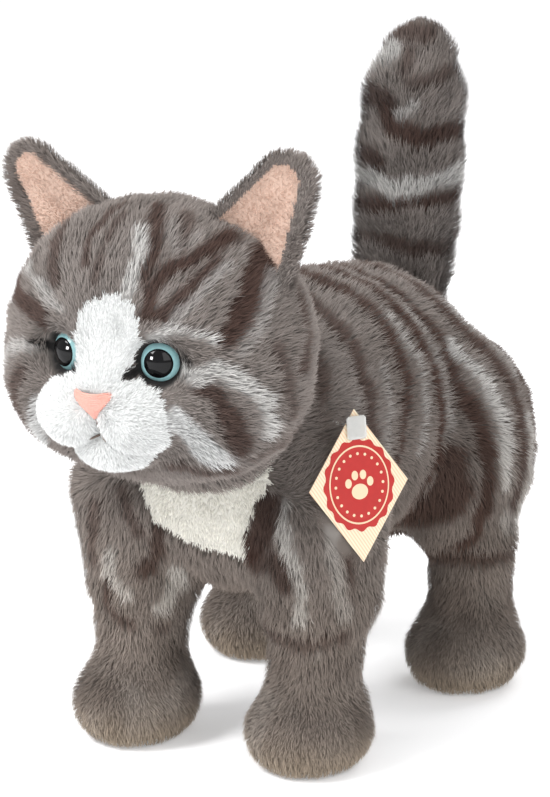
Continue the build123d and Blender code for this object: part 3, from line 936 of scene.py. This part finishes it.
class Ear:
    """One ear's own axes and shape."""

    def __init__(self, side):
        sign = SIDES[side]
        self.base = pivot(f"{side}_ear_flex")
        self.along = axis_of(f"{side}_ear_flex")
        self.along = self.along if self.along[0] * sign > 0 else -self.along
        self.up = unit(np.array([0.63 * sign, 0.08, 0.772]))
        turn = math.radians(EAR_DROOP[side])
        self.along, self.up = (
            self.along * math.cos(turn) - self.up * math.sin(turn),
            self.up * math.cos(turn) + self.along * math.sin(turn),
        )
        self.front = unit(np.cross(self.up, self.along)) * sign
        self.front = self.front if self.front[1] < 0 else -self.front

    def local(self, p):
        """Coordinates along the sewn edge, up the ear and out of its front."""
        q = p - self.base
        return q @ self.along, q @ self.up, q @ self.front

    def outline(self, a, h):
        """Signed distance to the ear's rounded triangle."""
        wide, tall = EAR_HALF - EAR_ROUND, EAR_TALL - EAR_ROUND
        corners = np.array([(-wide, -EAR_ROOT), (wide, -EAR_ROOT), (EAR_TIP, tall)])
        q = np.stack([a, h], axis=-1)
        edge = stroke_distance(q, np.concatenate([corners, corners[:1]]))
        inside = np.ones(a.shape, bool)
        for i in range(3):
            s, t = corners[i], corners[(i + 1) % 3]
            inside &= (t[0] - s[0]) * (h - s[1]) - (t[1] - s[1]) * (a - s[0]) > 0
        return np.where(inside, -edge, edge) - EAR_ROUND

    def cup(self, a, h):
        """How far out the middle of the cupped ear's thickness is."""
        return 4.5 * (a / EAR_HALF) ** 2 - 3.0 + 1.5 * (h / EAR_TALL) ** 2

    def field(self, p):
        """Signed distance, nearly, to the cupped ear, with its crease."""
        a, h, f = self.local(p)
        crease = 1.3 * np.exp(-((a - EAR_TIP * h / EAR_TALL) / 2.2) ** 2) * ramp(20 - h, 0, 14)
        sheet = np.abs(f - (self.cup(a, h) - crease)) - EAR_THICK / 2
        return -join(-self.outline(a, h), -sheet, 2.0)

    def lining(self, p):
        """True on the peach front, inside the rim."""
        a, h, f = self.local(p)
        return (f > self.cup(a, h)) & (self.outline(a + 1.0, h) < -3.8)


def ear_back_colour(p, n):
    """Grey with faint brown patches."""
    return mix(1.25 * grey_ground(p), BROWN, 0.20 * ramp(noise(p, 9.0, 55), 0.1, 0.6))


def add_ear(side):
    """One ear: a furry back with its rim, and a short-piled lining."""
    ear = Ear(side)
    centre = ear.base + ear.up * 11
    coat = Coat(ear.field, centre - 30, centre + 30, 1.1)
    comb = lambda p, n: np.broadcast_to(ear.up, p.shape) + 0.35 * unit(p - centre)
    seed = 40 if side == "left" else 43
    back = look(ear_back_colour, comb, 3.6, 0.75, width=0.28, clump=2.4, pull=0.12)
    inner = look(plain(PEACH), comb, 1.5, 0.9, width=0.28, clump=2.0, pull=0.1)
    name = f"{side}_ear"
    behind = lambda p: ~ear.lining(p)
    for piece, node, inside, its_look, per_mm2, slot in (
        (f"{name}_back_coat", f"{name}_back", behind, back, 4.2 * DENSE, "grey_pile"),
        (f"{name}_lining_pile", f"{name}_lining", ear.lining, inner, 4.0 * DENSE, "peach_pile"),
    ):
        ear_piece = coat_piece(coat, piece, inside, its_look, per_mm2, seed, None, [node], slot)
        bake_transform(ear_piece)
        seed += 1


for side in SIDES:
    add_ear(side)

# ---- neck ----------------------------------------------------------------------------------------
NECK = pivot("head_turn")


def neck_field(p):
    """The stuffed neck between the torso and the head."""
    return ellipsoid(p, NECK + (0, -2, 1), (30, 25, 24))


neck = Coat(neck_field, NECK - 40, NECK + 40, 2.2)


def outside_torso(p):
    """Thins the neck's pile where the torso covers it."""
    return np.where(torso_field(p) > -4, 1.0, 0.1)


neck_look = look(coat_colour, body_comb, 5.0, 1.0, density=outside_torso)
coat_piece(neck, "neck_coat", everywhere, neck_look, 1.2 * DENSE, 50, "neck", ["neck_filling"])


# ---- eyes, nose and mouth ------------------------------------------------------------------------
def ring_faces(first, count, rows):
    """Quads between neighbouring rings of count points each, the first ring starting at index first."""
    faces = []
    for i in range(rows):
        for k in range(count):
            a, b = first + i * count + k, first + i * count + (k + 1) % count
            faces.append((a, b, b + count, a + count))
    return faces


def lathe(name, profile, centre, across, up, out, segments=48):
    """A closed surface turned round the out axis from (radius, height) points."""
    verts, rows = [], len(profile) - 1
    for radius, height in profile:
        for k in range(segments):
            a = 2 * math.pi * k / segments
            spoke = across * math.cos(a) + up * math.sin(a)
            verts.append(centre + out * height + spoke * max(radius, 0.01))
    caps = [tuple(range(segments))[::-1], tuple(range(rows * segments, (rows + 1) * segments))]
    return to_mesh(name, verts, ring_faces(0, segments, rows) + caps)


def dome(radius, height, base, steps=10):
    """Profile of a shallow dome from its rim to its top."""
    sphere = (radius**2 + height**2) / (2 * height)
    radii = [radius - radius * i / steps for i in range(steps + 1)]
    return [(r, base + math.sqrt(sphere**2 - r * r) - sphere + height) for r in radii]


IRIS = mottled("teal_iris", (0.27, 0.52, 0.55), (0.40, 0.66, 0.68), 700.0, 0.15)
PUPIL = mottled(
    "black_pupil", (0.002, 0.002, 0.002), (0.004, 0.004, 0.005), 300.0, 0.05, Specular_IOR_Level=0.25
)
FELT = mottled("black_felt", (0.010, 0.008, 0.008), (0.022, 0.018, 0.017), 2500.0, 0.95, Sheen_Weight=0.05)
PINK = mottled("pink_thread", (0.62, 0.25, 0.20), (0.80, 0.40, 0.33), 1800.0, 0.6, Sheen_Weight=0.1)
DARK = mottled("dark_thread", (0.10, 0.07, 0.06), (0.20, 0.15, 0.12), 1500.0, 0.8)
EYE_R = mm_box("left_eye_iris")[1][2] - mid("left_eye_iris")[2]
PUPIL_R = 4.6


def add_eye(side):
    """One glossy eye with its pupil and the black felt behind it."""
    centre, across, up, out = eye_frame(side)
    rim = [(EYE_R - 1.2, -0.9), (EYE_R, -0.7), (EYE_R + 0.05, 0.0)]
    iris = lathe(f"{side}_iris", rim + dome(EYE_R, 3.6, 0.2), centre, across, up, out)
    finish_piece(iris, "head", "iris_plastic", IRIS, f"{side}_eye_iris")
    edge = [(PUPIL_R - 0.3, 2.0), (PUPIL_R, 2.2)]
    pupil = lathe(f"{side}_pupil", edge + dome(PUPIL_R, 1.6, 2.4), centre, across, up, out)
    finish_piece(pupil, "head", "pupil_plastic", PUPIL, f"{side}_eye_pupil")
    felt_profile = [(2.0, -0.6), (EYE_R + 1.0, -0.5), (EYE_R + 1.4, 0.1), (EYE_R + 0.9, 0.5), (2.0, 0.3)]
    felt = lathe(f"{side}_felt", felt_profile, centre, across, up, out)
    finish_piece(felt, "head", "black_felt", FELT, f"{side}_eye_felt")


for side in SIDES:
    add_eye(side)


def tube(name, paths, radius, sides=8):
    """Closed round threads along paths of points."""
    verts, faces = [], []
    for path in paths:
        path = np.asarray(path, float)
        first = len(verts)
        for i, point in enumerate(path):
            ahead = unit(path[min(i + 1, len(path) - 1)] - path[max(i - 1, 0)])
            side = unit(np.cross(ahead, (0.3, -1.0, 0.2)))
            top = np.cross(side, ahead)
            r = radius * (0.5 if i in (0, len(path) - 1) else 1.0)
            for k in range(sides):
                a = 2 * math.pi * k / sides
                verts.append(point + (side * math.cos(a) + top * math.sin(a)) * r)
        faces += ring_faces(first, sides, len(path) - 1)
        faces.append(tuple(range(first, first + sides))[::-1])
        faces.append(tuple(range(len(verts) - sides, len(verts))))
    return to_mesh(name, verts, faces)


def on_face(x, z, lift):
    """The point of the face's surface in front of (x, z), lifted off it."""
    y = np.linspace(NOSE[1] - 6, HEAD[1], 400)
    line = np.stack([np.full_like(y, x), y, np.full_like(y, z)], axis=-1)
    hit = line[np.argmax(head_field(line) < 0)]
    return hit + gradient(head_field, hit[None])[0] * lift


def nose_half_width(h):
    """Half width of the sewn nose at a height above its lowest point, from 0 to 1."""
    return 0.9 + 5.9 * ramp(h, -0.25, 0.85) ** 1.2


THREAD_R = 0.36


def add_nose():
    """The satin-stitched nose: rows of thread side by side, wide at the top and narrow below."""
    rows, tall = 15, 7.6
    paths = []
    for i in range(rows):
        h = i / (rows - 1)
        half = nose_half_width(h) * (1 - 0.12 * (h > 0.95))
        z = NOSE[2] + (h - 0.55) * tall
        across = (-1, -0.8, -0.4, 0, 0.4, 0.8, 1)
        paths.append([on_face(half * s, z + 0.5 * s * s * h, 1.5 - 1.0 * s * s) for s in across])
    nose = tube("stitched_nose", paths, THREAD_R)
    finish_piece(nose, "head", "pink_thread", PINK, "nose_pad")


MOUTH_LIFT = 0.9  # the threads lie in the pile, this far above the skin


def add_mouth():
    """Threads down from the nose and along the bottom of the muzzle puffs."""
    low = NOSE[2] - 4.5
    paths = [[on_face(0, low - d, MOUTH_LIFT) for d in (0, 2, 4, 6)]]
    for sign in SIDES.values():
        across = (0.3, 1.2, 2.4, 3.4)
        paths.append([on_face(sign * s, low - 6.0 - 0.10 * s * s, MOUTH_LIFT) for s in across])
    mouth = tube("mouth_stitches", paths, THREAD_R)
    finish_piece(mouth, "head", "dark_thread", DARK, "mouth_threads")


add_nose()
add_mouth()

# ---- hang tag ------------------------------------------------------------------------------------
def on_tag(u, v, w):
    """A point of the card: across, up and out from its hole."""
    return TAG_AT + TAG_ACROSS * u + TAG_UP * v + TAG_OUT * w


def slab(name, outline, back, front, rings=6):
    """A thin plate from an outline of (across, up) points, with rings of faces towards its middle."""
    centre = np.mean(outline, axis=0)
    verts, faces, n = [], [], len(outline)
    for height in (front, back):
        for i in range(rings + 1):
            scale = 1 - i / rings if i < rings else 0.02
            edge = 0.12 if i == 0 else 0.0
            for u, v in outline:
                q = centre + (np.array((u, v)) - centre) * scale
                w = height - np.sign(front - back) * edge * (1 if height == front else -1)
                verts.append(on_tag(q[0], q[1], w))
    half = n * (rings + 1)
    for start, way in ((0, 1), (half, -1)):
        cap = tuple(range(start + rings * n, start + half))
        faces += [face[::way] for face in ring_faces(start, n, rings) + [cap]]
    for k in range(n):
        a, b = k, (k + 1) % n
        faces.append((b, a, a + half, b + half))
    return to_mesh(name, verts, faces, smooth=False)


def circle(radius, u=0.0, v=0.0, count=48, stretch=1.0):
    """Outline of a disc."""
    turn = [2 * math.pi * k / count for k in range(count)]
    return [(u + radius * math.cos(a), v + radius * stretch * math.sin(a)) for a in turn]


def diamond(per_side=10):
    """Outline of the card."""
    corners = [(TAG_HALF, TAG_MIDDLE), (0, TAG_TOP), (-TAG_HALF, TAG_MIDDLE), (0, TAG_TOP - TAG_TALL)]
    points = []
    for i, corner in enumerate(corners):
        after = corners[(i + 1) % 4]
        for k in range(per_side):
            t = k / per_side
            points.append((corner[0] * (1 - t) + after[0] * t, corner[1] * (1 - t) + after[1] * t))
    return points


LINES_PER_M = 6500.0  # how close the card's printed lines are, in radians of their wave for each metre


def card_material():
    """Cream card with fine printed lines."""
    material, tree, shader = new_material("printed_card", 0.45)
    place = add_node(tree, "TexCoord")
    dot = add_node(tree, "VectorMath", {"operation": "DOT_PRODUCT"})
    dot.inputs[1].default_value = tuple((TAG_ACROSS * 0.84 + TAG_UP * 0.54) * LINES_PER_M)
    wave = add_node(tree, "Math", {"operation": "SINE"})
    level = add_node(tree, "MapRange", From_Min=-0.2, From_Max=0.9)
    lines = add_node(tree, "Mix", {"data_type": "RGBA"}, A=(0.80, 0.70, 0.52, 1), B=(0.78, 0.52, 0.34, 1))
    wire(
        tree, (place, "Object", dot, 0), (dot, "Value", wave, 0), (wave, 0, level, "Value"),
        (level, "Result", lines, "Factor"), (lines, "Result", shader, "Base Color"),
    )
    return material


RED = mottled("red_print", (0.40, 0.010, 0.008), (0.48, 0.016, 0.012), 400.0, 0.4)
CREAM_PRINT = mottled("cream_print", (0.78, 0.58, 0.38), (0.82, 0.64, 0.44), 400.0, 0.45)
CLEAR = mottled("clear_nylon", (0.62, 0.62, 0.60), (0.72, 0.72, 0.70), 500.0, 0.2, Transmission_Weight=0.35)


def join_pieces(name, *objects):
    """Several meshes as one piece that keeps each one's materials."""
    bpy.ops.object.select_all(action="DESELECT")
    for o in objects:
        o.select_set(True)
    bpy.context.view_layer.objects.active = objects[0]
    bpy.ops.object.join()
    objects[0].name = name
    return objects[0]


def scallop(radius, v, count=128, lobes=16):
    """Outline of a wavy-edged seal."""
    turn = [2 * math.pi * k / count for k in range(count)]
    size = [radius * (1 + 0.035 * math.cos(lobes * a)) for a in turn]
    return [(r * math.cos(a), v + SEAL_STRETCH * r * math.sin(a)) for r, a in zip(size, turn)]


SEAL_R, SEAL_STRETCH = 12.7, 1.17
# Outline of the fastener's flat end, a rectangle with cut corners.
PADDLE = [
    (-3.5, 2.6), (-2.8, 3.3), (2.8, 3.3), (3.5, 2.6), (3.5, -3.6), (2.8, -4.3), (-2.8, -4.3), (-3.5, -3.6),
]


def add_tag():
    """The diamond card, its printed round seal with a paw, and the clear fastener."""
    card = slab("hang_tag_card", diamond(), 0.0, 0.6)
    finish_piece(card, "tag", "tag_paper", card_material(), "tag_card")
    disc = slab("seal_disc", scallop(SEAL_R, SEAL_MIDDLE), 0.55, 0.75)
    disc.data.materials.append(RED)
    prints = [
        slab("ring", circle(11.0, 0, SEAL_MIDDLE, 64, SEAL_STRETCH), 0.7, 0.82),
        slab("inner", circle(10.5, 0, SEAL_MIDDLE, 64, SEAL_STRETCH), 0.75, 0.88),
        slab("pad", circle(3.0, 0, SEAL_MIDDLE - 2.2, 32, 0.85), 0.8, 0.96),
    ]
    for u, v in ((-4.0, 0.8), (-1.5, 3.2), (1.5, 3.2), (4.0, 0.8)):
        prints.append(slab("toe", circle(1.2, u, SEAL_MIDDLE + v, 20, 1.3), 0.8, 0.96))
    for k in range(20):
        a = 2 * math.pi * k / 20
        u, v = 8.7 * math.cos(a), 8.7 * SEAL_STRETCH * math.sin(a)
        prints.append(slab("dot", circle(0.5, u, SEAL_MIDDLE + v, 12), 0.8, 0.96, rings=1))
    for i, o in enumerate(prints):
        o.data.materials.append(RED if i == 1 else CREAM_PRINT)
    seal = join_pieces("hang_tag_seal", disc, *prints)
    finish_piece(seal, "tag", "tag_print", None, "tag_seal")
    paddle = slab("fastener_paddle", PADDLE, 0.95, 1.75)
    thread = tube("fastener_thread", [[on_tag(0, 0, w) for w in (1.4, -2, -5, -8.5)]], 0.55)
    paddle.data.materials.append(CLEAR)
    thread.data.materials.append(CLEAR)
    fastener = join_pieces("hang_tag_fastener", paddle, thread)
    finish_piece(fastener, "tag_clip", "clear_plastic", None, "tag_fastener")


add_tag()

# ---- CAD nodes that stay, out of sight -----------------------------------------------------------
WASHER = mottled("washer_plastic", (0.75, 0.75, 0.73), (0.80, 0.80, 0.78), 400.0, 0.5)
for node in ("left_eye_washer", "right_eye_washer", "tag_tbar"):
    o = frame["nodes"][node]
    o.data.materials.clear()
    o.data.materials.append(CLEAR if node == "tag_tbar" else WASHER)

# ---- stage ---------------------------------------------------------------------------------------
# The camera's direction in degrees, its distance, and its focal length and centre for a frame WIDE by TALL.
CAMERA = {
    "azimuth": 28.0, "elevation": 14.1, "distance": 1200.0, "focal": 3501.0, "centre": (294.0, 427.0),
}
WIDE, TALL = 550.0, 797.0


def add_camera():
    """The camera: direction from the aim point, lens and shift."""
    a, e = math.radians(CAMERA["azimuth"]), math.radians(CAMERA["elevation"])
    toward = Vector((math.sin(a) * math.cos(e), -math.cos(a) * math.cos(e), math.sin(e)))
    aim = Vector((0, 12.0 * MM, 100.0 * MM))
    data = bpy.data.cameras.new("camera")
    camera = add_object("camera", data)
    camera.location = aim + toward * CAMERA["distance"] * MM
    camera.rotation_euler = (-toward).to_track_quat("-Z", "Y").to_euler()
    data.sensor_fit = "VERTICAL"
    data.sensor_height = 24.0
    data.lens = 24.0 * CAMERA["focal"] / TALL
    data.shift_x = (WIDE / 2 - CAMERA["centre"][0]) / TALL
    data.shift_y = (CAMERA["centre"][1] - TALL / 2) / TALL
    data.clip_start, data.clip_end = 0.01, 20
    bpy.context.scene.camera = camera


def add_floor():
    """A pale floor that reaches past the picture."""
    verts = np.array([(-3000, -3000, 0), (3000, -3000, 0), (3000, 3000, 0), (-3000, 3000, 0)], float)
    floor = to_mesh("floor", verts, [(0, 1, 2, 3)], smooth=False)
    floor.data.materials.append(mottled(
        "floor_paper", (0.92, 0.92, 0.93), (0.94, 0.94, 0.95), 3.0, 0.9,
        Emission_Color=(1, 1, 1, 1), Emission_Strength=0.28,
    ))


def add_light(name, place, size, power):
    """A soft rectangular light aimed at the toy."""
    data = bpy.data.lights.new(name, "AREA")
    data.size, data.energy = size, power
    light = add_object(name, data)
    light.location = place
    light.rotation_euler = (Vector((0, 0, 0.1)) - Vector(place)).to_track_quat("-Z", "Y").to_euler()
    return light


def add_world(strength):
    """A surround that lights the toy softly and looks white to the camera."""
    world = bpy.data.worlds.new("studio")
    world.use_nodes = True
    bpy.context.scene.world = world
    tree = world.node_tree
    background = tree.nodes["Background"]
    set_inputs(background, {"Color": (1, 1, 1, 1)})
    path = add_node(tree, "LightPath")
    level = add_node(tree, "MapRange", To_Min=strength, To_Max=1.0)
    wire(tree, (path, "Is Camera Ray", level, "Value"), (level, "Result", background, "Strength"))


add_camera()
add_floor()
add_light("key", (-0.8, -1.2, 1.5), 0.8, 36)
add_light("fill", (1.3, -0.9, 0.9), 1.2, 11)
add_light("back", (0.3, 1.4, 1.3), 1.0, 12)
add_light("catch", (-0.40, -1.08, 0.40), 0.24, 14.0).visible_diffuse = False
add_world(0.66)
bpy.context.scene.view_settings.view_transform = "Standard"
